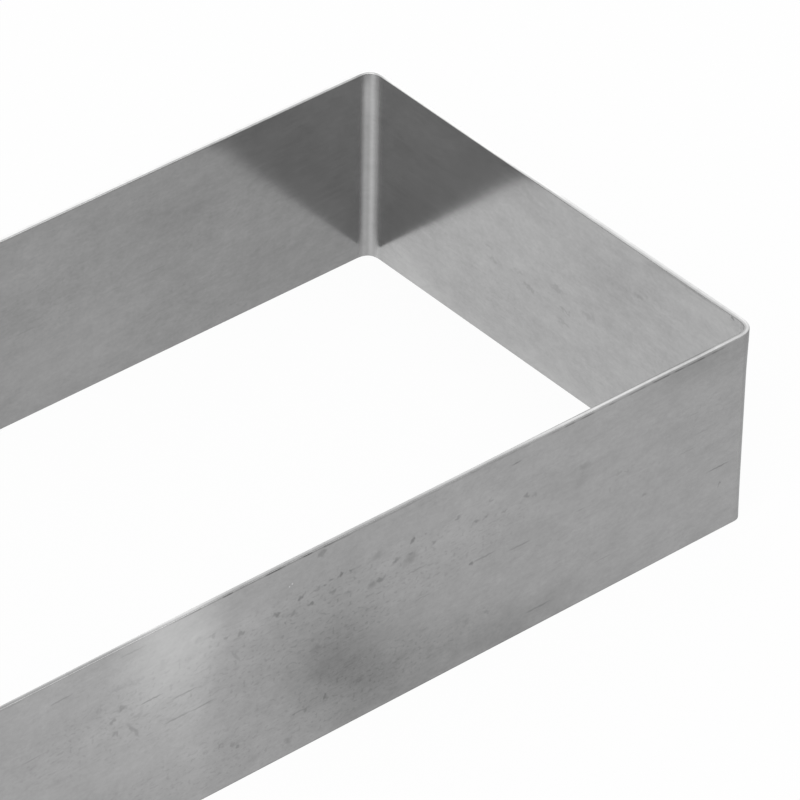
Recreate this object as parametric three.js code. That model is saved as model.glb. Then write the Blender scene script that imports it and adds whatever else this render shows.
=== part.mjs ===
// A rectangular mousse ring: one strip of stainless steel sheet, folded through four bends
// into a bottomless rectangle and closed by a butt weld in the middle of one long side.
// It has no base and no lid. It stands on a tray, and the mousse sets inside it.
//
// Units are millimetres. +Z is up and +X runs along the ring. The origin is at the middle
// of the ring, on the surface that it stands on.

import * as THREE from "three";

// Driving dimensions of the ring
const insideLength = 350;
const insideWidth = 100;
const ringHeight = 40;
const sheetThickness = 1;
const insideBendRadius = 3;

// The rounding that deburring leaves on the edges of both rims
const rimEdgeRadius = 0.25;

// The butt weld: a cap on the outside face, a neck between the strip's ends, and a root
// run on the inside face
const rootGap = 0.8;
const capWidth = 2.6;
const capCrown = 0.2;
const rootWidth = 1.8;
const rootCrown = 0.1;

// How finely the round stretches are divided
const bendSteps = 12;
const rimSteps = 3;
const crownSteps = 8;

const quarterTurn = Math.PI / 2;
const bends = 4;

const insideFaceY = insideWidth / 2;
const outsideFaceY = insideFaceY + sheetThickness;

const sheetSteel = new THREE.MeshStandardMaterial({
  color: 0x9b9b9b,
  roughness: 0.28,
  metalness: 1,
});
const weldSteel = new THREE.MeshStandardMaterial({
  color: 0xa6a6a4,
  roughness: 0.4,
  metalness: 1,
});

// The points of one face of the strip in plan, anticlockwise from one side of the seam to
// the other. Each bend turns a quarter round a centre that both faces share.
function facePoints(distanceOut) {
  const radius = insideBendRadius + distanceOut;
  const faceY = insideFaceY + distanceOut;
  const points = [new THREE.Vector2(-rootGap / 2, faceY)];
  for (let bend = 0; bend < bends; bend += 1) {
    const startAngle = (bend + 1) * quarterTurn;
    const middleAngle = startAngle + quarterTurn / 2;
    const centreX = Math.sign(Math.cos(middleAngle)) * (insideLength / 2 - insideBendRadius);
    const centreY = Math.sign(Math.sin(middleAngle)) * (insideWidth / 2 - insideBendRadius);
    for (let step = 0; step <= bendSteps; step += 1) {
      const angle = startAngle + (quarterTurn * step) / bendSteps;
      points.push(
        new THREE.Vector2(
          centreX + radius * Math.cos(angle),
          centreY + radius * Math.sin(angle),
        ),
      );
    }
  }
  points.push(new THREE.Vector2(rootGap / 2, faceY));
  return points;
}

// A low elliptical crown in plan, from its right side over to its left
function crownPoints(width, crown, faceY) {
  const points = [];
  for (let step = 0; step <= crownSteps; step += 1) {
    const angle = (Math.PI * step) / crownSteps;
    points.push(
      new THREE.Vector2(
        (width / 2) * Math.cos(angle),
        faceY + crown * Math.sin(angle),
      ),
    );
  }
  return points;
}

// The strip stands on its edge. Both of its rims are rounded all the way along.
function foldedStrip() {
  const outside = facePoints(sheetThickness);
  const inside = facePoints(0).reverse();
  const geometry = new THREE.ExtrudeGeometry(
    new THREE.Shape([...outside, ...inside]),
    {
      depth: ringHeight - 2 * rimEdgeRadius,
      bevelThickness: rimEdgeRadius,
      bevelSize: rimEdgeRadius,
      bevelOffset: -rimEdgeRadius,
      bevelSegments: rimSteps,
    },
  );
  const strip = new THREE.Mesh(geometry, sheetSteel);
  strip.name = "folded_strip";
  strip.position.z = rimEdgeRadius;
  return strip;
}

// The weld fills the gap between the strip's ends and laps onto both faces. It runs from
// the rounding of one rim to the rounding of the other.
function seamWeld() {
  const cap = crownPoints(capWidth, capCrown, outsideFaceY);
  const root = crownPoints(-rootWidth, -rootCrown, insideFaceY);
  const neckOnTheLeft = [
    new THREE.Vector2(-rootGap / 2, outsideFaceY),
    new THREE.Vector2(-rootGap / 2, insideFaceY),
  ];
  const neckOnTheRight = [
    new THREE.Vector2(rootGap / 2, insideFaceY),
    new THREE.Vector2(rootGap / 2, outsideFaceY),
  ];
  const geometry = new THREE.ExtrudeGeometry(
    new THREE.Shape([...cap, ...neckOnTheLeft, ...root, ...neckOnTheRight]),
    { depth: ringHeight - 2 * rimEdgeRadius, bevelEnabled: false },
  );
  const weld = new THREE.Mesh(geometry, weldSteel);
  weld.name = "seam_weld";
  weld.position.z = rimEdgeRadius;
  return weld;
}

const mousseRing = new THREE.Group();
mousseRing.add(foldedStrip(), seamWeld());

export default mousseRing;
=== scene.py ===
import math

import bmesh
import bpy
from bpy.props import FloatProperty, FloatVectorProperty, IntProperty, PointerProperty, StringProperty
from bpy.types import Operator, Panel, PropertyGroup
from mathutils import Matrix, Vector


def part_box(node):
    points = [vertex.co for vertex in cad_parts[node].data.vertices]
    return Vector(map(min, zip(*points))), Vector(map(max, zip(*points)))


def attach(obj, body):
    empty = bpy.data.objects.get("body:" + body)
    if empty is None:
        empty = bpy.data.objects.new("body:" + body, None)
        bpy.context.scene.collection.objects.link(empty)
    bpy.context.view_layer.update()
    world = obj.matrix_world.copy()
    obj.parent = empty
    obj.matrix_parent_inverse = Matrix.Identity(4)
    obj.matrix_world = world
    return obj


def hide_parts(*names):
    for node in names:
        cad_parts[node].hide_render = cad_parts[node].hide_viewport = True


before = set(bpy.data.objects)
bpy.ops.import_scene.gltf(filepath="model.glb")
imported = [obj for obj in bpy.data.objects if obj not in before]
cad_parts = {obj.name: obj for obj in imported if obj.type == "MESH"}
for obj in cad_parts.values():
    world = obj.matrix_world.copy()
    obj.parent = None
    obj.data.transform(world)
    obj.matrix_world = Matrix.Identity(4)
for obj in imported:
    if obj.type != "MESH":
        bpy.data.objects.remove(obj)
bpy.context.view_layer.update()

bl_info = {
    "name": "Rectangular mousse ring",
    "version": (1, 0, 0),
    "blender": (4, 5, 0),
    "location": "View3D > Sidebar > Mousse ring",
    "description": "Models a bottomless rectangular ring folded from stainless steel strip",
    "category": "Add Mesh",
}

MM = 0.001

strip_low, strip_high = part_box("folded_strip")
weld_low, weld_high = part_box("seam_weld")


# Sizes and colours that a user can change

METRES = {"unit": "LENGTH", "precision": 5}


class StripSizes(PropertyGroup):
    """The strip of sheet that is folded into the ring"""
    length: FloatProperty(
        name="Outside length", description="Length of the ring over both end walls",
        default=strip_high[0] - strip_low[0], **METRES,
    )
    width: FloatProperty(
        name="Outside width", description="Width of the ring over both long walls",
        default=strip_high[1] - strip_low[1], **METRES,
    )
    height: FloatProperty(
        name="Height", description="Height of the ring from rim to rim",
        default=strip_high[2] - strip_low[2], **METRES,
    )
    sheet: FloatProperty(
        name="Sheet thickness", description="Thickness of the steel sheet",
        default=1.0 * MM, **METRES,
    )
    bend_radius: FloatProperty(
        name="Outside bend radius", description="Radius of the four bends on the outside face",
        default=4.0 * MM, **METRES,
    )
    bend_steps: IntProperty(
        name="Bend steps", description="How many flats each quarter bend is divided into",
        default=24, min=8,
    )
    seam_gap: FloatProperty(
        name="Seam gap", description="Gap between the strip's ends, which the weld fills",
        default=0.8 * MM, **METRES,
    )
    rim_radius: FloatProperty(
        name="Rim edge radius", description="Rounding left on the upper rim by deburring",
        default=0.25 * MM, **METRES,
    )
    foot_radius: FloatProperty(
        name="Foot edge radius", description="Rounding left on the lower rim by deburring",
        default=0.06 * MM, **METRES,
    )
    wave: FloatProperty(
        name="Wall waves", description="How far the walls wander from flat, as sheet does",
        default=0.05 * MM, **METRES,
    )
    rim_bow: FloatProperty(
        name="Rim bow", description="How far the front wall's upper rim bows inwards",
        default=0.20 * MM, **METRES,
    )
    bend_spread: FloatProperty(
        name="Bend spread", description="How far the bends spread outwards at the upper rim",
        default=0.40 * MM, **METRES,
    )
    bend_draw: FloatProperty(
        name="Bend draw", description="How far the front bends draw inwards at the lower rim",
        default=0.14 * MM, **METRES,
    )


class WeldSizes(PropertyGroup):
    """The butt weld that closes the ring"""
    cap_width: FloatProperty(
        name="Cap width", description="Width of the bead on the outside face",
        default=weld_high[0] - weld_low[0], **METRES,
    )
    cap_crown: FloatProperty(
        name="Cap crown", description="Height of the bead above the outside face",
        default=weld_high[1] - strip_high[1], **METRES,
    )
    root_width: FloatProperty(
        name="Root width", description="Width of the bead on the inside face",
        default=1.8 * MM, **METRES,
    )
    root_crown: FloatProperty(
        name="Root crown", description="Height of the bead above the inside face",
        default=0.1 * MM, **METRES,
    )
    ripple_pitch: FloatProperty(
        name="Ripple pitch", description="Distance from one weld ripple to the next",
        default=0.75 * MM, **METRES,
    )
    ripple_depth: FloatProperty(
        name="Ripple depth", description="Depth of the valleys between the weld ripples",
        default=0.045 * MM, **METRES,
    )


class SteelFinish(PropertyGroup):
    """The colours of the steel"""
    long_wall: StringProperty(
        name="Long walls", description="Colour of the steel outside on the long walls, in hex",
        default="9D9D9D",
    )
    # Painted shade: the inside of the long walls is given a darker colour
    long_wall_inside_shaded: StringProperty(
        name="Long walls inside", description="Colour of the steel inside the long walls, in hex",
        default="939393",
    )
    # Painted light: the end walls are given a paler colour than the long walls
    end_wall: StringProperty(
        name="End walls", description="Colour of the steel on the two end walls, in hex",
        default="AFAFAF",
    )
    weld: StringProperty(
        name="Weld", description="Colour of the steel in the seam's bead, in hex",
        default="A2A29F",
    )


class StageSettings(PropertyGroup):
    """The camera, the table and the lamps"""
    aim: FloatVectorProperty(
        name="Aim", description="Point that the camera looks at",
        default=(0.133, -0.00797, 0.020), subtype="TRANSLATION", unit="LENGTH",
    )
    azimuth: FloatProperty(
        name="Azimuth", description="How far round the ring the camera stands",
        default=math.radians(-40.760), subtype="ANGLE",
    )
    elevation: FloatProperty(
        name="Elevation", description="How steeply the camera looks down",
        default=math.radians(36.806), subtype="ANGLE",
    )
    roll: FloatProperty(
        name="Roll", description="How far the camera leans to one side",
        default=math.radians(0.973), subtype="ANGLE",
    )
    distance: FloatProperty(
        name="Distance", description="From the camera to the point that it looks at",
        default=1.2373, **METRES,
    )
    lens: FloatProperty(
        name="Lens", description="Focal length of the camera's lens in millimetres",
        default=323.374,
    )
    floor_size: FloatProperty(
        name="Floor size", description="Side of the square floor",
        default=60.0, unit="LENGTH",
    )


# Modelling helpers

def apply_modifier(piece, kind, **settings):
    """Add a modifier to a piece with its settings and apply it."""
    modifier = piece.modifiers.new(kind.lower(), kind)
    for name, value in settings.items():
        setattr(modifier, name, value)
    bpy.ops.object.modifier_apply(modifier=modifier.name)


def start_piece(name, low, high):
    """Start a piece from a block between two corners, and leave it open for editing."""
    bpy.ops.object.select_all(action="DESELECT")
    low, high = Vector(low), Vector(high)
    bpy.ops.mesh.primitive_cube_add(size=1, location=(low + high) / 2, scale=high - low)
    bpy.ops.object.transform_apply(location=True, rotation=True, scale=True)
    piece = bpy.context.object
    piece.name = name
    piece.data.name = name
    bpy.ops.object.mode_set(mode="EDIT")
    return piece


def pick(piece, kind, wanted):
    """Select the faces or edges of the mesh being edited that a test wants, and no others."""
    bpy.ops.mesh.select_mode(type=kind)
    bpy.ops.mesh.select_all(action="DESELECT")
    mesh = bmesh.from_edit_mesh(piece.data)
    for part in mesh.faces if kind == "FACE" else mesh.edges:
        if wanted(part):
            part.select_set(True)
    bmesh.update_edit_mesh(piece.data)


# How close a face or an edge lies to the place where it is looked for
NEAR = 0.01 * MM


def middle_of(edge):
    return (edge.verts[0].co + edge.verts[1].co) / 2


def run_of(edge):
    return edge.verts[1].co - edge.verts[0].co


def smooth_step(share):
    share = min(max(share, 0.0), 1.0)
    return share * share * (3 - 2 * share)


def weigh(piece, name, weight_at):
    """Give each point of a piece its weight in a new vertex group."""
    group = piece.vertex_groups.new(name=name)
    for point in piece.data.vertices:
        group.add([point.index], weight_at(point.co), "REPLACE")


# The folded strip

# How far the inside face's pattern is moved from the outside face's in the strip's map
INSIDE_FACE_SHIFT = 100 * MM


def bend_centre(sizes):
    """How far from the middle of the ring the bends turn, along and across."""
    return sizes.length / 2 - sizes.bend_radius, sizes.width / 2 - sizes.bend_radius


def distance_along(sizes, x, y):
    """How far round the strip a point lies, anticlockwise from the seam."""
    centre_x, centre_y = bend_centre(sizes)
    arc_radius = sizes.bend_radius - sizes.sheet / 2
    arc = arc_radius * math.pi / 2
    left_end = centre_x + arc
    front = left_end + 2 * centre_y + arc
    right_end = front + 2 * centre_x + arc
    whole = right_end + 2 * centre_y + arc + centre_x
    if abs(x) <= centre_x:
        if y < 0:
            return front + centre_x + x
        return -x if x < 0 else whole - x
    if abs(y) <= centre_y:
        return left_end + centre_y - y if x < 0 else right_end + centre_y + y
    turn = math.atan2(abs(y) - centre_y, abs(x) - centre_x) * arc_radius
    if x < 0:
        return centre_x + arc - turn if y > 0 else front - arc + turn
    return right_end + 2 * centre_y + turn if y > 0 else right_end - turn


def end_share(sizes, x, y):
    """0 on a long wall and 1 on an end wall, changing over in the bends."""
    centre_x, centre_y = bend_centre(sizes)
    if abs(x) <= centre_x:
        return 0.0
    if abs(y) <= centre_y:
        return 1.0
    turn = math.atan2(abs(x) - centre_x, abs(y) - centre_y)
    return smooth_step(turn / (math.pi / 2))


def distance_across(sizes, height, inside, on_wall):
    """How far across the strip a point lies: up the outside face, over the rims, and
    a set distance further on for the inside face."""
    if on_wall:
        return height + INSIDE_FACE_SHIFT if inside else height
    upper = height > sizes.height / 2
    radius = sizes.rim_radius if upper else sizes.foot_radius
    over_rim = math.pi * radius + sizes.sheet - 2 * radius
    from_rim = sizes.height - height if upper else height
    arc = radius * math.asin(min(max(1 - from_rim / radius, 0), 1))
    past_edge = over_rim - arc if inside else arc
    return sizes.height - radius + past_edge if upper else radius - past_edge


def map_strip(piece, sizes):
    """Lay the strip's own map, in metres along and across it, and note its end walls."""
    mesh = piece.data
    inner_group = piece.vertex_groups["inside_face"].index
    inside = [
        any(entry.group == inner_group and entry.weight > 0.5 for entry in point.groups)
        for point in mesh.vertices
    ]
    along = [distance_along(sizes, point.co.x, point.co.y) for point in mesh.vertices]
    strip_map = mesh.uv_layers.new(name="strip_map")
    for face in mesh.polygons:
        on_wall = abs(face.normal.z) < 0.1
        for loop in face.loop_indices:
            index = mesh.loops[loop].vertex_index
            across = distance_across(sizes, mesh.vertices[index].co.z, inside[index], on_wall)
            strip_map.data[loop].uv = (along[index], across)
    share = mesh.attributes.new("end_share", "FLOAT", "POINT")
    for point in mesh.vertices:
        share.data[point.index].value = end_share(sizes, point.co.x, point.co.y)


def fold_sheet(sizes):
    """Fold the bare sheet through four bends, open at the seam, with points all over it."""
    strip = start_piece("steel_strip", strip_low, strip_high)
    centre_x, centre_y = bend_centre(sizes)

    # The block loses its top and bottom, and its upright edges become the bends
    pick(strip, "FACE", lambda face: abs(face.normal.z) > 0.9)
    bpy.ops.mesh.delete(type="ONLY_FACE")
    pick(strip, "EDGE", lambda edge: abs(run_of(edge).z) > sizes.height / 2)
    bpy.ops.mesh.bevel(
        offset=sizes.bend_radius, segments=sizes.bend_steps, affect="EDGES", clamp_overlap=False,
    )

    # The back wall is cut on both sides of the seam, and the piece between the cuts goes
    for side in (-1, 1):
        pick(strip, "FACE", lambda face: face.normal.y > 0.99)
        bpy.ops.mesh.bisect(plane_co=(side * sizes.seam_gap / 2, 0, 0), plane_no=(1, 0, 0))
    pick(
        strip, "FACE",
        lambda face: face.normal.y > 0.99 and abs(face.calc_center_median().x) < sizes.seam_gap / 2,
    )
    bpy.ops.mesh.delete(type="FACE")

    # Columns on each wall and rows up the strip, close enough to take the sheet's waves
    wall_cuts = (
        (99, lambda edge: middle_of(edge).y < -centre_y and abs(run_of(edge).x) > centre_x),
        (49, lambda edge: middle_of(edge).y > centre_y and abs(run_of(edge).x) > centre_x / 2),
        (26, lambda edge: abs(run_of(edge).y) > centre_y),
        (15, lambda edge: abs(run_of(edge).z) > sizes.height / 2),
    )
    for cuts, wanted in wall_cuts:
        pick(strip, "EDGE", wanted)
        bpy.ops.mesh.subdivide(number_cuts=cuts)
    bpy.ops.object.mode_set(mode="OBJECT")
    return strip


def loosen_walls(strip, sizes):
    """Let the walls wander from flat, and the front wall's upper rim bow inwards."""
    centre_x, centre_y = bend_centre(sizes)
    # A wall is free to wander away from the table, the bends and the seam, which hold it
    held = 28 * MM
    bow_middle = 66 * MM
    bow_reach = 50 * MM

    def free_share(point):
        from_bend_x = centre_x - abs(point.x)
        from_bend_y = centre_y - abs(point.y)
        share = smooth_step(2 * point.z / held)
        if from_bend_x <= 0:
            return share * smooth_step(from_bend_y / held)
        if point.y > 0:
            share *= smooth_step(abs(point.x) / held)
        return share * smooth_step(from_bend_x / held)

    def bow_share(point):
        if point.y > -centre_y or abs(point.x) > centre_x:
            return 0.0
        along = smooth_step(1 - abs(point.x - bow_middle) / bow_reach)
        return along * (point.z / sizes.height) ** 1.5

    weigh(strip, "free_wall", free_share)
    weigh(strip, "bowed_rim", bow_share)
    waves = bpy.data.textures.new("sheet_waves", "CLOUDS")
    waves.noise_scale = 55 * MM
    waves.noise_depth = 0
    apply_modifier(
        strip, "DISPLACE", texture=waves, vertex_group="free_wall", texture_coords="LOCAL",
        strength=2 * sizes.wave, mid_level=1.0,
    )
    apply_modifier(
        strip, "DISPLACE", vertex_group="bowed_rim", direction="Y", strength=sizes.rim_bow,
        mid_level=0.0,
    )


def strain_bends(strip, sizes):
    """Spread the bends outwards, and draw the front ones inwards at their foot. The back bends
    are tighter at their foot and flare just at the rim. The front ones are tighter towards the
    rim, and at their foot on the front wall's side."""
    centre_x, centre_y = bend_centre(sizes)
    pressed_turn = math.radians(50)

    def turn_of(point):
        past_x = abs(point.x) - centre_x
        past_y = abs(point.y) - centre_y
        return math.atan2(past_x, past_y) if past_x > 0 and past_y > 0 else 0.0

    def spread_share(point):
        turn = turn_of(point)
        up = point.z / sizes.height
        middle = math.sin(2 * turn) ** 2
        if point.y > 0:
            # 0 up to a millimetre below the rim, and 1 at it
            lip = smooth_step(40 * up - 39)
            return (0.3 * up + 0.55 * lip + 0.6 * (1 - up) ** 2) * middle
        at_rim = (0.2 * up + 0.4 * smooth_step(4 * up - 3)) * middle
        pressed = math.sin(math.pi * turn / pressed_turn) ** 2 if turn < pressed_turn else 0.0
        return at_rim + 0.55 * (1 - up) ** 4 * pressed

    def draw_share(point):
        if point.y > 0:
            return 0.0
        return (1 - point.z / sizes.height) * math.sin(2 * turn_of(point)) ** 2

    weigh(strip, "spread_bend", spread_share)
    weigh(strip, "drawn_bend", draw_share)
    for group, reach in (("spread_bend", sizes.bend_spread), ("drawn_bend", -sizes.bend_draw)):
        apply_modifier(strip, "DISPLACE", vertex_group=group, strength=reach, mid_level=0.0)


def thicken_sheet(strip, sizes):
    """Give the sheet its thickness inwards, flat rims, and deburred edges, rounder on the upper
    rim."""
    strip.vertex_groups.new(name="inside_face")
    apply_modifier(
        strip, "SOLIDIFY", thickness=sizes.sheet, offset=-1, use_even_offset=True,
        shell_vertex_group="inside_face",
    )
    bpy.ops.object.mode_set(mode="EDIT")
    for upper, radius in ((True, sizes.rim_radius), (False, sizes.foot_radius)):
        rim_height = sizes.height if upper else 0.0
        pick(
            strip, "FACE",
            lambda face: abs(face.normal.z) > 0.9 and (face.normal.z > 0) == upper,
        )
        bpy.ops.transform.resize(value=(1, 1, 0), center_override=(0, 0, rim_height))
        pick(
            strip, "EDGE",
            lambda edge: (middle_of(edge).z > sizes.height / 2) == upper
            and abs(run_of(edge).z) < 0.5 * sizes.sheet
            and edge.calc_face_angle(0) > math.radians(60),
        )
        bpy.ops.mesh.bevel(offset=radius, segments=4, affect="EDGES", clamp_overlap=False)
    pick(strip, "EDGE", lambda edge: edge.calc_face_angle(0) > math.radians(60))
    bpy.ops.mesh.mark_sharp()
    bpy.ops.object.mode_set(mode="OBJECT")


def fold_strip(sizes):
    """Make the strip: a folded sheet with the faults of a real one, given its thickness."""
    strip = fold_sheet(sizes)
    loosen_walls(strip, sizes)
    strain_bends(strip, sizes)
    thicken_sheet(strip, sizes)
    map_strip(strip, sizes)
    bpy.ops.object.shade_smooth()
    apply_modifier(strip, "WEIGHTED_NORMAL", weight=50, keep_sharp=True)
    strip.vertex_groups.clear()
    return strip


# The seam's weld

def round_crown(piece, width, crown, face_y, side):
    """Divide the outermost face on one side of the bead and lift it into a low round crown."""
    steps = 8
    pick(
        piece, "EDGE",
        lambda edge: abs(middle_of(edge).y - face_y) < NEAR and abs(run_of(edge).x) > width / 2,
    )
    bpy.ops.mesh.subdivide(number_cuts=steps - 1)
    for step in range(1, steps):
        place = width * (step / steps - 0.5)
        angle = math.pi * step / steps
        pick(
            piece, "EDGE",
            lambda edge: abs(middle_of(edge).y - face_y) < NEAR
            and abs(run_of(edge).z) > MM and abs(middle_of(edge).x - place) < NEAR,
        )
        shift = -width / 2 * math.cos(angle) - place
        bpy.ops.transform.translate(value=(shift, side * crown * math.sin(angle), 0))


def lay_weld(strip_sizes, sizes):
    """Make the weld: a neck between the strip's ends with a rippled bead on either face."""
    outside = strip_sizes.width / 2
    inside = outside - strip_sizes.sheet
    gap = strip_sizes.seam_gap
    weld = start_piece(
        "seam_bead", (-gap / 2, inside, weld_low[2]), (gap / 2, outside, weld_high[2]),
    )
    beads = (
        (1, outside, sizes.cap_width, sizes.cap_crown),
        (-1, inside, sizes.root_width, sizes.root_crown),
    )
    for side, face_y, width, crown in beads:
        pick(
            weld, "FACE",
            lambda face: face.normal.y * side > 0.9
            and abs(face.calc_center_median().y - face_y) < NEAR,
        )
        bpy.ops.mesh.extrude_region_move()
        bpy.ops.transform.resize(value=(width / gap, 1, 1))
        round_crown(weld, width, crown, face_y, side)

    # Rows up the bead. A subdivision makes 100 cuts at most, so it is cut into lengths first.
    height = weld_high[2] - weld_low[2]
    lengths = 3
    rows_per_ripple = 4
    rows = round(rows_per_ripple * height / sizes.ripple_pitch / lengths)
    for parts, whole in ((lengths, height), (rows, height / lengths)):
        pick(weld, "EDGE", lambda edge: abs(run_of(edge).z) > whole / 2)
        bpy.ops.mesh.subdivide(number_cuts=parts - 1)
    bpy.ops.mesh.select_all(action="SELECT")
    bpy.ops.mesh.normals_make_consistent(inside=False)
    bpy.ops.object.mode_set(mode="OBJECT")

    # A band texture, which repeats once in pi / 10, reads this map. The map's second axis bends
    # back towards the bead's sides.
    mesh = weld.data
    ripple_map = mesh.uv_layers.new(name="ripple_map")
    per_ripple = math.pi / 10
    swept_back = 0.45 * MM
    for loop in mesh.loops:
        point = mesh.vertices[loop.vertex_index].co
        swept = point.z - swept_back * (2 * point.x / sizes.cap_width) ** 2
        ripple_map.data[loop.index].uv = (0, swept / sizes.ripple_pitch * per_ripple)
    ripples = bpy.data.textures.new("weld_ripples", "WOOD")
    ripples.wood_type = "BANDS"
    ripples.noise_basis_2 = "SIN"

    def ripple_share(point):
        proud = max(point.y - outside, inside - point.y) / sizes.cap_crown
        return min(max(proud, 0.0), 1.0)

    weigh(weld, "proud_bead", ripple_share)
    apply_modifier(
        weld, "DISPLACE", texture=ripples, texture_coords="UV", uv_layer="ripple_map",
        vertex_group="proud_bead", strength=sizes.ripple_depth, mid_level=1.0,
    )
    mesh.uv_layers.remove(mesh.uv_layers["ripple_map"])
    weld.vertex_groups.clear()
    bpy.ops.object.shade_smooth_by_angle(angle=math.radians(40))
    return weld


# Material helpers

def linear(hex_colour):
    """Turn an sRGB colour such as "A0B1C2" into linear red, green, blue and alpha."""
    channels = [int(hex_colour[place:place + 2], 16) / 255 for place in (0, 2, 4)]
    return (
        *(c / 12.92 if c <= 0.04045 else ((c + 0.055) / 1.055) ** 2.4 for c in channels), 1.0,
    )


def add_node(tree, kind, inputs=None, **settings):
    """Add a shader node with its settings. Each input takes a value, another node's output, or
    a node for its first output. A Map Range goes from inputs 1 and 2 to inputs 3 and 4, and a
    Mix goes between 2 and 3, or 6 and 7 for colours."""
    node = tree.nodes.new("ShaderNode" + kind)
    for name, value in settings.items():
        setattr(node, name, value)
    for name, value in (inputs or {}).items():
        if isinstance(value, bpy.types.Node):
            value = value.outputs[0]
        if isinstance(value, bpy.types.NodeSocket):
            tree.links.new(value, node.inputs[name])
        else:
            node.inputs[name].default_value = value
    return node


def new_material(name):
    """Start a material whose node tree is empty."""
    material = bpy.data.materials.new(name)
    material.use_nodes = True
    material.node_tree.nodes.clear()
    return material, material.node_tree


def grain(tree, place, length, width, seed, detail=2.0):
    """Noise from about -0.5 to 0.5, drawn out along the strip. Its sizes are in millimetres."""
    stretched = add_node(
        tree, "Mapping",
        {"Vector": place, "Location": (seed, 1.7 * seed, 0), "Scale": (1 / length, 1 / width, 1)},
    )
    noise = add_node(
        tree, "TexNoise",
        {"Vector": stretched, "Scale": 1.0, "Detail": detail, "Roughness": 0.55},
        noise_dimensions="2D",
    )
    return add_node(tree, "Math", {0: noise, 1: 0.5}, operation="SUBTRACT")


def patch(tree, place, centre, half_size, lean, core, strength):
    """A soft oval in the strip's map: its strength inside its core, fading to 0 at its edge."""
    laid = add_node(
        tree, "Mapping",
        {
            "Vector": place, "Location": (*centre, 0), "Rotation": (0, 0, math.radians(lean)),
            "Scale": (*half_size, 1),
        },
        vector_type="TEXTURE",
    )
    reach = add_node(tree, "VectorMath", {0: laid}, operation="LENGTH")
    return add_node(
        tree, "MapRange",
        {"Value": reach.outputs["Value"], 1: core, 2: 1.0, 3: strength, 4: 0.0},
        interpolation_type="SMOOTHSTEP",
    )


def weighted_sum(tree, start, terms):
    """A value plus several patterns, each times its own amount."""
    total = start
    for pattern, amount in terms:
        total = add_node(tree, "Math", {0: pattern, 1: amount, 2: total}, operation="MULTIPLY_ADD")
    return total


def marks(tree, place, shape, spots):
    """Many small marks of one shape in the strip's map. Each has the place of its middle, half
    its length in millimetres and its strength."""
    stretch, lean, wander = shape
    noise = add_node(
        tree, "TexNoise", {"Vector": place, "Scale": 0.9, "Detail": 1.0}, noise_dimensions="2D",
    )
    centred = add_node(
        tree, "VectorMath", {0: noise.outputs["Color"], 1: (0.5, 0.5, 0.5)}, operation="SUBTRACT",
    )
    nudged = add_node(
        tree, "VectorMath", {0: centred, 1: (wander, wander, 0), 2: place}, operation="MULTIPLY_ADD",
    )
    laid = add_node(
        tree, "Mapping",
        {"Vector": nudged, "Rotation": (0, 0, math.radians(lean)), "Scale": (stretch, 1, 1)},
        vector_type="TEXTURE",
    )
    turn_back = Matrix.Rotation(math.radians(-lean), 2)
    dark = 0.0
    for along, up, half_length, strength in spots:
        x, y = turn_back @ Vector((along, up))
        reach = add_node(tree, "VectorMath", {0: laid, 1: (x / stretch, y, 0)}, operation="DISTANCE")
        # The larger the mark, the softer its edge
        half_height = half_length / stretch
        core = half_height * max(0.55 - 0.4 * half_height, 0)
        mark = add_node(
            tree, "MapRange",
            {"Value": reach.outputs["Value"], 1: core, 2: half_height, 3: strength, 4: 0.0},
            interpolation_type="SMOOTHSTEP",
        )
        dark = add_node(tree, "Math", {0: dark, 1: mark}, operation="MAXIMUM")
    return dark


# Marks that the photograph shows on the front wall's outside face, placed one by one. Each row has the
# place along the wall from its middle, the place up from the lower rim, half the mark's length in
# millimetres, and how much darker the steel is there.

FRONT_SCRATCHES = (
    (25.7, 35.8, 2.8, 0.21),
    (40.3, 38.2, 3.5, 0.18),
    (44.0, 26.5, 2.9, 0.39),
    (19.7, 26.7, 2.3, 0.18),
    (51.0, 24.2, 3.4, 0.30),
    (49.4, 19.9, 3.6, 0.30),
    (54.6, 19.8, 3.4, 0.29),
    (54.8, 27.0, 2.9, 0.11),
    (100.2, 25.3, 2.9, 0.21),
    (115.1, 20.7, 3.4, 0.21),
    (123.0, 19.2, 3.2, 0.21),
    (101.6, 18.8, 2.5, 0.15),
    (168.1, 14.0, 3.1, 0.30),
    (160.8, 21.0, 2.8, 0.10),
    (164.2, 23.6, 2.1, 0.11),
    (142.0, 7.0, 2.8, 0.11),
    (75.2, 8.0, 3.0, 0.18),
    (127.5, 3.8, 3.6, 0.17),
    (121.8, 37.2, 1.5, 0.39),
    (136.5, 20.2, 1.5, 0.23),
    (161.9, 28.3, 1.2, 0.23),
)

FRONT_SLANTS = (
    (40.3, 22.1, 3.3, 0.22),
    (61.7, 26.4, 2.6, 0.13),
)

FRONT_STREAKS = (
    (37.6, 32.2, 3.2, 0.11),
    (41.2, 31.7, 2.6, 0.11),
    (47.2, 32.5, 3.4, 0.08),
)

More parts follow.
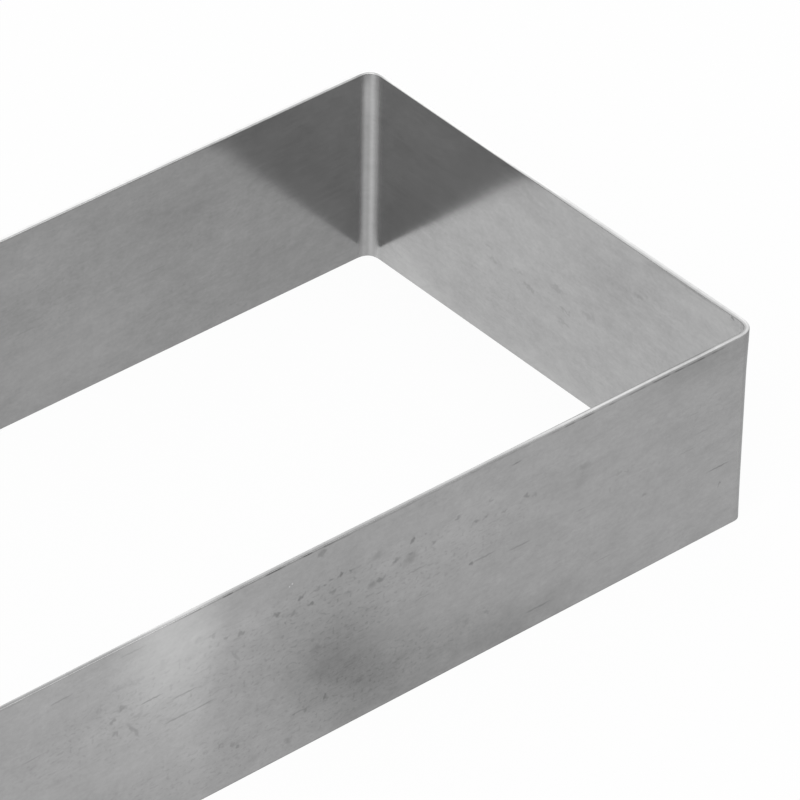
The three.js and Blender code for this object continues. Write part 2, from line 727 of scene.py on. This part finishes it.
FRONT_FLECKS = (
    (38.1, 27.8, 1.4, 0.34),
    (36.1, 25.9, 0.8, 0.28),
    (41.4, 24.5, 1.2, 0.15),
    (36.5, 23.1, 1.0, 0.25),
    (59.8, 31.4, 0.9, 0.28),
    (62.7, 30.6, 0.9, 0.28),
    (70.3, 30.7, 1.0, 0.34),
    (75.7, 31.8, 1.0, 0.36),
    (78.9, 31.8, 1.0, 0.22),
    (83.8, 32.3, 0.9, 0.39),
    (77.7, 29.3, 1.1, 0.34),
    (73.9, 29.1, 1.2, 0.20),
    (85.6, 27.8, 1.1, 0.20),
    (91.9, 32.4, 2.0, 0.15),
    (90.6, 27.0, 1.7, 0.24),
    (92.4, 27.1, 1.1, 0.28),
    (79.9, 38.7, 1.5, 0.25),
    (78.9, 19.5, 1.6, 0.15),
    (61.9, 7.1, 0.9, 0.25),
    (80.7, 8.1, 0.9, 0.25),
    (72.6, 3.0, 1.4, 0.16),
    (65.0, 3.1, 1.7, 0.13),
    (99.4, 31.8, 0.9, 0.39),
    (98.9, 29.2, 0.9, 0.28),
    (98.9, 28.4, 3.0, 0.22),
    (104.0, 29.3, 1.1, 0.28),
    (109.3, 31.9, 0.8, 0.28),
    (113.2, 29.0, 1.0, 0.28),
    (115.2, 29.1, 0.9, 0.25),
    (124.4, 29.0, 0.8, 0.25),
    (137.2, 29.1, 2.0, 0.12),
    (111.4, 8.5, 1.9, 0.14),
    (103.8, 6.7, 1.5, 0.12),
    (168.6, 9.9, 0.7, 0.25),
    (52.3, 23.2, 0.9, 0.25),
    (57.0, 33.1, 0.9, 0.22),
    (82.1, 29.6, 0.9, 0.22),
    (86.1, 32.2, 0.7, 0.25),
    (58.5, 9.4, 0.8, 0.20),
    (95.6, 29.5, 1.1, 0.34),
    (119.2, 28.1, 0.8, 0.21),
    (151.2, 16.3, 0.8, 0.20),
    (116.0, 8.6, 1.0, 0.16),
    (130.5, 28.0, 2.5, 0.07),
    (137.0, 26.5, 2.9, 0.11),
    (33.1, 30.0, 0.9, 0.12),
    (53.9, 33.8, 1.1, 0.10),
    (52.0, 30.6, 1.1, 0.10),
    (72.3, 28.1, 0.6, 0.22),
    (80.3, 31.9, 0.7, 0.28),
    (81.9, 32.1, 0.6, 0.25),
    (101.9, 31.9, 0.6, 0.21),
    (116.3, 31.9, 0.6, 0.20),
    (126.3, 28.4, 0.8, 0.15),
    (145.0, 24.0, 0.7, 0.14),
    (146.9, 23.4, 0.7, 0.14),
    (143.1, 21.3, 0.7, 0.11),
    (112.5, 20.6, 0.6, 0.37),
    (52.5, 9.4, 0.7, 0.16),
    (55.0, 9.6, 0.7, 0.15),
    (61.0, 8.5, 0.7, 0.21),
    (65.6, 7.8, 0.7, 0.14),
    (60.6, 3.8, 0.8, 0.15),
    (73.8, 7.9, 0.8, 0.24),
    (76.3, 7.8, 0.8, 0.21),
    (88.1, 8.1, 1.3, 0.12),
    (96.3, 8.1, 0.7, 0.15),
)

# Painted reflections on the same wall, as broad soft patches: along, up, half the length and half the
# height in millimetres, lean in degrees, and the change in tone, above 0 for painted reflected light
# and below 0 for painted reflected shade

FRONT_PAINTED_REFLECTIONS = (
    (84, 15, 28, 18, -40, -0.22),
    (83, 14, 17, 11, -38, -0.14),
    (106, 3, 30, 13, -10, -0.17),
    (90, 2, 22, 6, 0, -0.09),
    (126, 2, 24, 8, 0, -0.12),
    (108, 29, 28, 9, 0, 0.07),
    (166, 40, 24, 10, 0, -0.17),
    (30, 26, 60, 60, 0, 0.08),
    (45, 24, 20, 28, 0, 0.13),
    (47.5, 38, 15, 19, 0, 0.41),
    (27, 38, 24, 9, 0, 0.09),
    (52, 22, 7, 40, 0, 0.11),
    (56.5, 33, 5.5, 14, 0, 0.15),
    (64, 33, 9, 7, 0, 0.11),
    (99, 38.3, 11, 0.8, 1.5, -0.05),
)

# Two painted glints on the same wall, bright specks given as the marks are, but brighter

PAINTED_GLINTS = (
    (73.0, 35.2, 0.13, 1.0),
    (73.6, 35.5, 0.14, 1.1),
)

# Marks on the inside of the back wall, and its painted reflections of light and shade, along the wall
# from its middle

BACK_SCRATCHES = (
    (88.0, 18.7, 2.6, 0.07),
    (96.5, 18.6, 3.2, 0.08),
    (106.0, 18.8, 2.8, 0.07),
    (115.5, 18.7, 3.4, 0.08),
    (126.0, 18.7, 3.0, 0.07),
    (134.5, 18.8, 2.4, 0.06),
)

# Painted reflected light and shade, given as the front wall's patches are
BACK_PAINTED_REFLECTIONS = (
    (106, 9, 28, 17, 0, 0.13),
    (100, 32, 14, 12, 0, 0.06),
    (131, 28, 18, 13, 0, -0.10),
    (160, 6, 28, 14, 0, -0.07),
    (140, 9, 7, 0.5, 0, 0.05),
)

# Marks on the inside of the end wall, and its painted reflections of light and shade, from its middle
# towards the back

END_FLECKS = (
    (-45.7, 39.5, 0.7, 0.36),
    (-22.4, 30.7, 1.6, 0.15),
)

END_STREAKS = (
    (6.0, 16.7, 2.6, 0.15),
    (-3.5, 17.0, 2.3, 0.16),
    (-1.0, 20.6, 3.2, 0.12),
    (16.0, 17.2, 2.7, 0.11),
    (17.5, 19.6, 1.8, 0.11),
    (-9.5, 19.3, 2.9, 0.11),
    (-3.0, 14.3, 2.5, 0.11),
    (9.5, 18.4, 2.2, 0.10),
)

# Painted reflected light and shade, given as the front wall's patches are
END_PAINTED_REFLECTIONS = (
    (0, 0, 70, 5, 0, 0.12),
    (38, 1, 16, 8, 0, 0.16),
    (34, 34, 24, 20, 0, 0.12),
    (-14, 29, 26, 14, 0, -0.08),
    (7, 40, 10, 12, 0, -0.07),
    (-27, 40, 9, 5, 0, -0.09),
    # A thin line of painted shadow under the upper rim, then narrow upright strips of painted
    # highlight near and in the bends
    (-36, 39.6, 12, 0.45, 0, -0.22),
    (-49.3, 36, 2, 14, 0, 0.22),
    (49.4, 20, 0.9, 60, 0, 0.30),
    (48, 20, 1.3, 60, 0, 0.25),
    (50.9, 20, 1.1, 60, 0, 0.30),
    (50.6, 42, 1.8, 17, 0, 0.30),
)

# Bands of fine specks on the front wall: along, up, half the length and half the height in
# millimetres, and how much darker the specks are

FRONT_BANDS = (
    (70, 25, 74, 12, 0.12),
    (74, 8, 56, 9, 0.10),
)

# How long each kind of mark is for its height, how far it leans in degrees, and how far its
# outline wanders in millimetres

SCRATCH_SHAPE = (15, 0, 0.35)
SLANT_SHAPE = (6, -56, 0.8)
FLECK_SHAPE = (1.6, 0, 1.6)
STREAK_SHAPE = (4, 0, 2.0)
SPECK_SHAPE = (1, 0, 0.1)

MARKS = (
    ("front", SCRATCH_SHAPE, FRONT_SCRATCHES),
    ("front", SLANT_SHAPE, FRONT_SLANTS),
    ("front", STREAK_SHAPE, FRONT_STREAKS),
    ("front", FLECK_SHAPE, FRONT_FLECKS),
    ("back", SCRATCH_SHAPE, BACK_SCRATCHES),
    ("end", FLECK_SHAPE, END_FLECKS),
    ("end", STREAK_SHAPE, END_STREAKS),
)

# Each wall's painted reflections of light and shade
PAINTED_REFLECTIONS = (
    ("front", FRONT_PAINTED_REFLECTIONS),
    ("back", BACK_PAINTED_REFLECTIONS),
    ("end", END_PAINTED_REFLECTIONS),
)


def marked_faces(sizes):
    """Where the three marked faces lie in the strip's map, in millimetres: how far along each
    one's middle is, which way its own places run, and how far up it starts."""
    front = distance_along(sizes, 0, -sizes.width / 2) / MM
    back = distance_along(sizes, 0, sizes.width / 2) / MM
    end = distance_along(sizes, sizes.length / 2, 0) / MM
    inside = INSIDE_FACE_SHIFT / MM
    return {"front": (front, 1, 0), "back": (back, -1, inside), "end": (end, 1, inside)}


def handling_marks(tree, place, sizes):
    """How much darker the marks of use make the steel."""
    # Short nicks along the grain and small specks, in loose clusters all round the strip
    nicks = add_node(
        tree, "MapRange",
        {"Value": grain(tree, place, 2.2, 0.35, 23.3, 0.0), 1: 0.21, 2: 0.30, 4: 0.6},
    )
    specks = add_node(
        tree, "MapRange", {"Value": grain(tree, place, 0.9, 0.55, 37.1, 0.0), 1: 0.18, 2: 0.27},
    )
    cluster = add_node(
        tree, "MapRange", {"Value": grain(tree, place, 26, 9, 29.9), 1: -0.04, 2: 0.12, 4: 0.05},
    )
    faces = marked_faces(sizes)
    front = faces["front"][0]
    for x, z, half_length, half_height, amount in FRONT_BANDS:
        band = patch(tree, place, (front + x, z), (half_length, half_height), 0, 0.5, amount)
        cluster = add_node(tree, "Math", {0: cluster, 1: band}, operation="MAXIMUM")
    either = add_node(tree, "Math", {0: nicks, 1: specks}, operation="MAXIMUM")
    dark = add_node(tree, "Math", {0: either, 1: cluster}, operation="MULTIPLY")
    for wall, shape, rows in MARKS:
        middle, way, start = faces[wall]
        spots = [(middle + way * x, start + z, size, amount) for x, z, size, amount in rows]
        found = marks(tree, place, shape, spots)
        dark = add_node(tree, "Math", {0: dark, 1: found}, operation="MAXIMUM")
    return dark


def add_painted_reflections(tree, place, sizes, tone):
    """A tone with the painted reflections of three walls added to it: broad soft patches of painted
    light and shade.
    """
    faces = marked_faces(sizes)
    for wall, rows in PAINTED_REFLECTIONS:
        middle, way, start = faces[wall]
        for x, z, half_length, half_height, lean, amount in rows:
            spot = patch(
                tree, place, (middle + way * x, start + z), (half_length, half_height),
                way * lean, 0.0, amount,
            )
            tone = add_node(tree, "Math", {0: tone, 1: spot}, operation="ADD")
    return tone


def distance_from(tree, value, middle):
    """How far a value lies from a middle, on either side."""
    gap = add_node(tree, "Math", {0: value, 1: middle}, operation="SUBTRACT")
    return add_node(tree, "Math", {0: gap}, operation="ABSOLUTE")


def stretch_of(tree, along, middle, half_length, core):
    """1 along a stretch of the strip and over both of its faces, fading out at its ends."""
    reach = distance_from(tree, along, middle)
    return add_node(
        tree, "MapRange",
        {"Value": reach, 1: core * half_length, 2: half_length, 3: 1.0, 4: 0.0},
        interpolation_type="SMOOTHSTEP",
    )


def rim_gain(tree, along, across, sizes):
    """How much brighter the rims are than the walls. The upper rim carries a painted highlight, which
    changes in strength along the rim and is weaker over much of the front wall. The lower rim's edges
    are dark with painted shadow."""
    front_middle = marked_faces(sizes)["front"][0]
    end_middle = marked_faces(sizes)["end"][0]
    height = sizes.height / MM
    front = stretch_of(tree, along, front_middle, 178, 0.98)
    front_middle_stretch = stretch_of(tree, along, front_middle, 142, 0.82)
    stretch_right_of_middle = stretch_of(tree, along, front_middle + 22, 32, 0.6)
    far_right_stretch = stretch_of(tree, along, front_middle + 122, 26, 0.3)
    near_bend = stretch_of(tree, along, front_middle + 172, 9, 0.5)
    near_end = stretch_of(tree, along, end_middle - 24, 34, 0.5)
    far_end = stretch_of(tree, along, end_middle + 30, 27, 0.5)
    far_bend = stretch_of(tree, along, end_middle + 50, 5, 0.4)
    outer_edge = weighted_sum(
        tree, 1.5,
        ((front, -1.35), (front_middle_stretch, -0.33), (stretch_right_of_middle, 0.02), (near_bend, 0.08), (near_end, -0.3)),
    )
    land = weighted_sum(
        tree, 0.3,
        ((front, 0.72), (front_middle_stretch, -0.97), (near_bend, 0.05), (near_end, -0.65), (far_end, 0.6)),
    )
    inner_slope = weighted_sum(
        tree, 0.0, ((front_middle_stretch, 0.68), (stretch_right_of_middle, -0.53), (far_right_stretch, 0.30), (near_bend, 0.1)),
    )
    inner_edge = weighted_sum(
        tree, 1.4,
        (
            (front, -0.35), (front_middle_stretch, 0.55), (far_right_stretch, 0.35), (near_bend, 0.35), (far_end, 0.8),
            (far_bend, -0.55),
        ),
    )

    # From the lower rim's edge, dark with painted shadow, up the face and over the upper rim's painted
    # highlight: where each climb in brightness starts and ends across the strip, and how high it is
    gain = 0.35
    climbs = (
        (-0.05, 0.22, 0.65),
        (height - 0.25, height - 0.05, outer_edge),
        (height - 0.02, height + 0.12, land),
        (height + 0.08, height + 0.42, inner_slope),
    )
    for start, end, rise in climbs:
        climb = add_node(tree, "MapRange", {"Value": across, 1: start, 2: end})
        gain = weighted_sum(tree, gain, ((climb, rise),))
    # Past these places the inner edge, and then the inside face, have levels of their own
    levels = (
        (height + 0.44, height + 0.62, inner_edge),
        (height + 0.75, height + 1.0, 1.0),
    )
    for start, end, level in levels:
        past = add_node(tree, "MapRange", {"Value": across, 1: start, 2: end})
        gain = add_node(tree, "Mix", {0: past, 2: gain, 3: level}, data_type="FLOAT")
    return gain


def burr_shadow_line(tree, place, along, across, sizes):
    """Painted shadow: the dashed dark line that the burr casts just under the front wall's upper rim.
    """
    front_middle = marked_faces(sizes)["front"][0]
    height = sizes.height / MM
    front = stretch_of(tree, along, front_middle, 169, 0.99)
    front_middle_stretch = stretch_of(tree, along, front_middle, 142, 0.82)
    stretch_right_of_middle = stretch_of(tree, along, front_middle + 36, 20, 0.6)
    rolled_over = stretch_of(tree, along, front_middle + 62, 26, 0.5)
    line = weighted_sum(tree, height - 0.48, ((front_middle_stretch, 0.21), (rolled_over, 0.13)))
    off_line = distance_from(tree, across, line)
    strength = weighted_sum(
        tree, 0.54, ((front_middle_stretch, -0.39), (stretch_right_of_middle, -0.48), (rolled_over, 0.42)),
    )
    dashes = add_node(
        tree, "MapRange", {"Value": grain(tree, place, 4.5, 4, 51.3, 1.0), 1: -0.05, 2: 0.04, 3: 0.3},
    )
    dark = add_node(tree, "MapRange", {"Value": off_line, 1: 0.06, 2: 0.18, 3: 1.0, 4: 0.0})
    for share in (strength, dashes, front):
        dark = add_node(tree, "Math", {0: dark, 1: share}, operation="MULTIPLY")
    return dark


def sheet_steel_material(sizes, finish):
    """Cold-rolled stainless sheet with a satin finish. The rolls leave faint lines along the
    strip, which draw reflections out and soften them, and use leaves scratches and flecks."""
    material, tree = new_material("satin_cold_rolled_stainless")
    strip_map = add_node(tree, "UVMap", uv_map="strip_map")
    place = add_node(tree, "VectorMath", {0: strip_map, "Scale": 1 / MM}, operation="SCALE")
    along, across = add_node(tree, "SeparateXYZ", {0: place}).outputs[:2]
    height = sizes.height / MM

    # Grain along the strip. The finest rolling lines are 0.05 mm apart on the real sheet and
    # are drawn 0.25 mm apart here, the closest that shows. Each row is a layer's length and
    # width in millimetres, its share of the tone and its seed.
    layers = (
        (48, 18, 0.11, 3.1),
        (9, 6, 0.13, 5.3),
        (40, 1.1, 0.035, 7.7),
        (4.5, 2.6, 0.145, 13.7),
        (2.4, 1.2, 0.12, 19.1),
        (0.9, 0.6, 0.13, 17.9),
        (14, 0.25, 0.07, 11.3),
    )
    patterns = [
        (grain(tree, place, length, width, seed), amount) for length, width, amount, seed in layers
    ]
    fine_lines = patterns[-1][0]
    # The walls' painted reflected light and shade are added to the grain's tone
    tone = add_painted_reflections(tree, place, sizes, weighted_sum(tree, 1.0, patterns))
    front = marked_faces(sizes)["front"][0]
    sagging = stretch_of(tree, along, front + 170, 18, 0.4)
    rim_across = weighted_sum(tree, across, ((sagging, 0.10),))
    dark = handling_marks(tree, place, sizes)
    # The burr's painted shadow darkens the steel along with the marks
    burr = burr_shadow_line(tree, place, along, rim_across, sizes)
    dark = add_node(tree, "Math", {0: dark, 1: burr}, operation="MAXIMUM")
    tone = add_node(tree, "Math", {0: tone, 1: dark}, operation="SUBTRACT")
    # The painted glints brighten the tone there
    specks = [(front + x, z, size, amount) for x, z, size, amount in PAINTED_GLINTS]
    tone = weighted_sum(tree, tone, ((marks(tree, place, SPECK_SHAPE, specks), 1.0),))
    # The rims' painted highlight and the lower rim's painted shadow scale the tone
    gain = rim_gain(tree, along, rim_across, sizes)
    tone = add_node(tree, "Math", {0: tone, 1: gain}, operation="MULTIPLY")

    # Each bend is duller than the walls, as its skin was stretched outside and squeezed inside. Its
    # tone is painted: a little lighter on the inside face as painted reflected light, and darker on
    # the outside as painted shade. The walls' shares multiply to 0.25 in its middle.
    end_walls = add_node(tree, "Attribute", attribute_name="end_share").outputs["Fac"]
    long_walls = add_node(tree, "Math", {0: 1.0, 1: end_walls}, operation="SUBTRACT")
    bend_share = add_node(tree, "Math", {0: end_walls, 1: long_walls}, operation="MULTIPLY")
    bend = add_node(tree, "MapRange", {"Value": bend_share, 2: 0.25})
    outside = add_node(tree, "MapRange", {"Value": across, 1: height - 0.1, 2: height, 3: 1.0, 4: 0.0})
    bend_painted_light_and_shade = add_node(tree, "Mix", {0: outside, 2: 0.08, 3: -0.32}, data_type="FLOAT")
    tone = weighted_sum(tree, tone, ((bend, bend_painted_light_and_shade),))

    # The inside of the long walls is painted darker, as painted shade, and the end walls are painted
    # the palest, as painted light
    on_inside = add_node(tree, "MapRange", {"Value": across, 1: height + 5, 2: height + 6})
    long_wall = add_node(
        tree, "Mix",
        {0: on_inside, 6: linear(finish.long_wall), 7: linear(finish.long_wall_inside_shaded)},
        data_type="RGBA",
    ).outputs[2]
    steel = add_node(
        tree, "Mix", {0: end_walls, 6: long_wall, 7: linear(finish.end_wall)}, data_type="RGBA",
    ).outputs[2]
    colour = add_node(tree, "VectorMath", {0: steel, "Scale": tone}, operation="SCALE")

    whole_bend = add_node(tree, "MapRange", {"Value": bend_share, 2: 0.10})
    roughness = weighted_sum(tree, 0.155, ((fine_lines, 0.08), (whole_bend, 0.25)))
    lines_height = grain(tree, place, 22, 0.3, 41.7, 1.0)
    bump = add_node(tree, "Bump", {"Strength": 0.25, "Distance": 0.01 * MM, "Height": lines_height})
    surface = add_node(
        tree, "BsdfPrincipled",
        {"Base Color": colour, "Metallic": 1.0, "Roughness": roughness, "Normal": bump},
    )
    add_node(tree, "OutputMaterial", {"Surface": surface})
    return material


def weld_steel_material(finish):
    """Stainless weld metal, laid by a torch and brushed over. It froze in ripples, and is a
    little paler and rougher than the rolled sheet beside it."""
    material, tree = new_material("brushed_stainless_weld")
    place = add_node(tree, "TexCoord").outputs["Object"]
    # Wire-brush lines across the bead
    brush_length = 2.5 * MM
    brush_pitch = 0.15 * MM
    brushed = add_node(
        tree, "Mapping",
        {"Vector": place, "Scale": (1 / brush_length, 1 / brush_length, 1 / brush_pitch)},
    )
    lines = add_node(tree, "TexNoise", {"Vector": brushed, "Scale": 1.0})
    # Oxide tones that change slowly over the bead
    oxide_spread = 4 * MM
    oxide = add_node(tree, "TexNoise", {"Vector": place, "Scale": 1 / oxide_spread, "Detail": 1.0})
    tone = weighted_sum(tree, 0.66, ((lines, 0.34), (oxide, 0.40)))
    colour = add_node(
        tree, "VectorMath", {0: linear(finish.weld)[:3], "Scale": tone}, operation="SCALE",
    )
    roughness = add_node(tree, "MapRange", {"Value": lines, 3: 0.32, 4: 0.50})
    bump = add_node(tree, "Bump", {"Strength": 0.3, "Distance": 0.02 * MM, "Height": lines})
    surface = add_node(
        tree, "BsdfPrincipled",
        {"Base Color": colour, "Metallic": 1.0, "Roughness": roughness, "Normal": bump},
    )
    add_node(tree, "OutputMaterial", {"Surface": surface})
    return material


# The stage

def floor_material():
    """Matt white painted board. It shows as white as the background, and keeps a faint shadow."""
    material, tree = new_material("matt_white_board")
    path = add_node(tree, "LightPath").outputs
    mirrored = add_node(
        tree, "Math", {0: path["Is Glossy Ray"], 1: path["Is Transmission Ray"]}, operation="MAXIMUM",
    )
    # Its share of pure white where it is seen, and where it is mirrored
    white_seen = 0.95
    white_mirrored = 0.75
    in_view = add_node(tree, "Math", {0: path["Is Camera Ray"], 1: white_seen}, operation="MULTIPLY")
    share = weighted_sum(tree, in_view, ((mirrored, white_mirrored),))
    board = add_node(tree, "BsdfDiffuse", {"Color": linear("E7E7E7")})
    white = add_node(tree, "Emission")
    surface = add_node(tree, "MixShader", {0: share, 1: board, 2: white})
    add_node(tree, "OutputMaterial", {"Surface": surface})
    return material


def white_surroundings():
    """White all round where it is seen or mirrored, and a plain level of light on the rest."""
    world = bpy.data.worlds.new("white_surroundings")
    bpy.context.scene.world = world
    world.use_nodes = True
    tree = world.node_tree
    tree.nodes.clear()
    plain_light = 0.72
    path = add_node(tree, "LightPath").outputs
    seen = path["Is Camera Ray"]
    for kind in ("Is Glossy Ray", "Is Transmission Ray"):
        seen = add_node(tree, "Math", {0: seen, 1: path[kind]}, operation="MAXIMUM")
    strength = add_node(tree, "Mix", {0: seen, 2: plain_light, 3: 1.0}, data_type="FLOAT")
    surroundings = add_node(tree, "Background", {"Color": (1, 1, 1, 1), "Strength": strength})
    add_node(tree, "OutputWorld", {"Surface": surroundings})


def place_camera(stage):
    """Stand the camera where the photograph was taken from."""
    turn = (
        Matrix.Rotation(stage.azimuth, 4, "Z")
        @ Matrix.Rotation(math.pi / 2 - stage.elevation, 4, "X")
        @ Matrix.Rotation(stage.roll, 4, "Z")
    )
    data = bpy.data.cameras.new("camera")
    data.sensor_width = 36
    data.lens = stage.lens
    data.clip_start = 0.05
    data.clip_end = 100
    camera = bpy.data.objects.new("camera", data)
    bpy.context.collection.objects.link(camera)
    back = turn @ Vector((0, 0, stage.distance))
    camera.matrix_world = Matrix.Translation(Vector(stage.aim) + back) @ turn
    bpy.context.scene.camera = camera


def hang_lamp(name, place, side, power):
    """Hang a square soft lamp that looks at the middle of the ring."""
    data = bpy.data.lights.new(name, "AREA")
    data.shape = "SQUARE"
    data.size = side
    data.energy = power
    lamp = bpy.data.objects.new(name, data)
    bpy.context.collection.objects.link(lamp)
    place = Vector(place)
    turn = (-place).to_track_quat("-Z", "Y").to_matrix().to_4x4()
    lamp.matrix_world = Matrix.Translation(place) @ turn


# Operators

class MOUSSERING_OT_set_stage(Operator):
    """Set up the camera, the floor, the lamps and the white surroundings"""
    bl_idname = "mousse_ring.set_stage"
    bl_label = "Set the stage"

    def execute(self, context):
        stage = context.scene.mousse_ring_stage
        place_camera(stage)
        bpy.ops.object.select_all(action="DESELECT")
        bpy.ops.mesh.primitive_plane_add(size=stage.floor_size)
        floor = context.object
        floor.name = "floor"
        floor.data.materials.append(floor_material())
        hang_lamp("left_soft_lamp", place=(-1.9, -0.9, 1.9), side=1.6, power=22)
        hang_lamp("top_soft_lamp", place=(0.5, -0.6, 2.6), side=1.8, power=18)
        white_surroundings()
        context.scene.view_settings.view_transform = "Standard"
        return {"FINISHED"}


class MOUSSERING_OT_fold_strip(Operator):
    """Fold the steel strip into the ring's four walls"""
    bl_idname = "mousse_ring.fold_strip"
    bl_label = "Fold the strip"

    def execute(self, context):
        sizes = context.scene.mousse_ring_strip
        strip = fold_strip(sizes)
        strip.data.materials.append(sheet_steel_material(sizes, context.scene.mousse_ring_finish))
        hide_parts("folded_strip")
        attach(strip, "root")
        return {"FINISHED"}


class MOUSSERING_OT_lay_weld(Operator):
    """Lay the weld that closes the ring in the middle of its back wall"""
    bl_idname = "mousse_ring.lay_weld"
    bl_label = "Lay the weld"

    def execute(self, context):
        scene = context.scene
        weld = lay_weld(scene.mousse_ring_strip, scene.mousse_ring_weld)
        weld.data.materials.append(weld_steel_material(scene.mousse_ring_finish))
        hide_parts("seam_weld")
        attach(weld, "root")
        return {"FINISHED"}


class MOUSSERING_PT_pieces(Panel):
    """Lists the ring's pieces and their sizes"""
    bl_idname = "MOUSSERING_PT_pieces"
    bl_label = "Mousse ring"
    bl_space_type = "VIEW_3D"
    bl_region_type = "UI"
    bl_category = "Mousse ring"

    def draw(self, context):
        scene = context.scene
        for operator, settings in PIECES:
            box = self.layout.box()
            box.operator(operator.bl_idname)
            for group_name in settings:
                group = getattr(scene, group_name)
                for name in group.__annotations__:
                    box.prop(group, name)


PIECES = (
    (MOUSSERING_OT_set_stage, ("mousse_ring_stage",)),
    (MOUSSERING_OT_fold_strip, ("mousse_ring_strip", "mousse_ring_finish")),
    (MOUSSERING_OT_lay_weld, ("mousse_ring_weld",)),
)

GROUPS = {
    "mousse_ring_stage": StageSettings,
    "mousse_ring_strip": StripSizes,
    "mousse_ring_finish": SteelFinish,
    "mousse_ring_weld": WeldSizes,
}


def register():
    for name, group in GROUPS.items():
        bpy.utils.register_class(group)
        setattr(bpy.types.Scene, name, PointerProperty(type=group))
    for operator, _ in PIECES:
        bpy.utils.register_class(operator)
    bpy.utils.register_class(MOUSSERING_PT_pieces)


def unregister():
    bpy.utils.unregister_class(MOUSSERING_PT_pieces)
    for operator, _ in reversed(PIECES):
        bpy.utils.unregister_class(operator)
    for name, group in GROUPS.items():
        delattr(bpy.types.Scene, name)
        bpy.utils.unregister_class(group)


def main():
    register()
    bpy.ops.mousse_ring.set_stage()
    bpy.ops.mousse_ring.fold_strip()
    bpy.ops.mousse_ring.lay_weld()


if __name__ == "__main__":
    main()
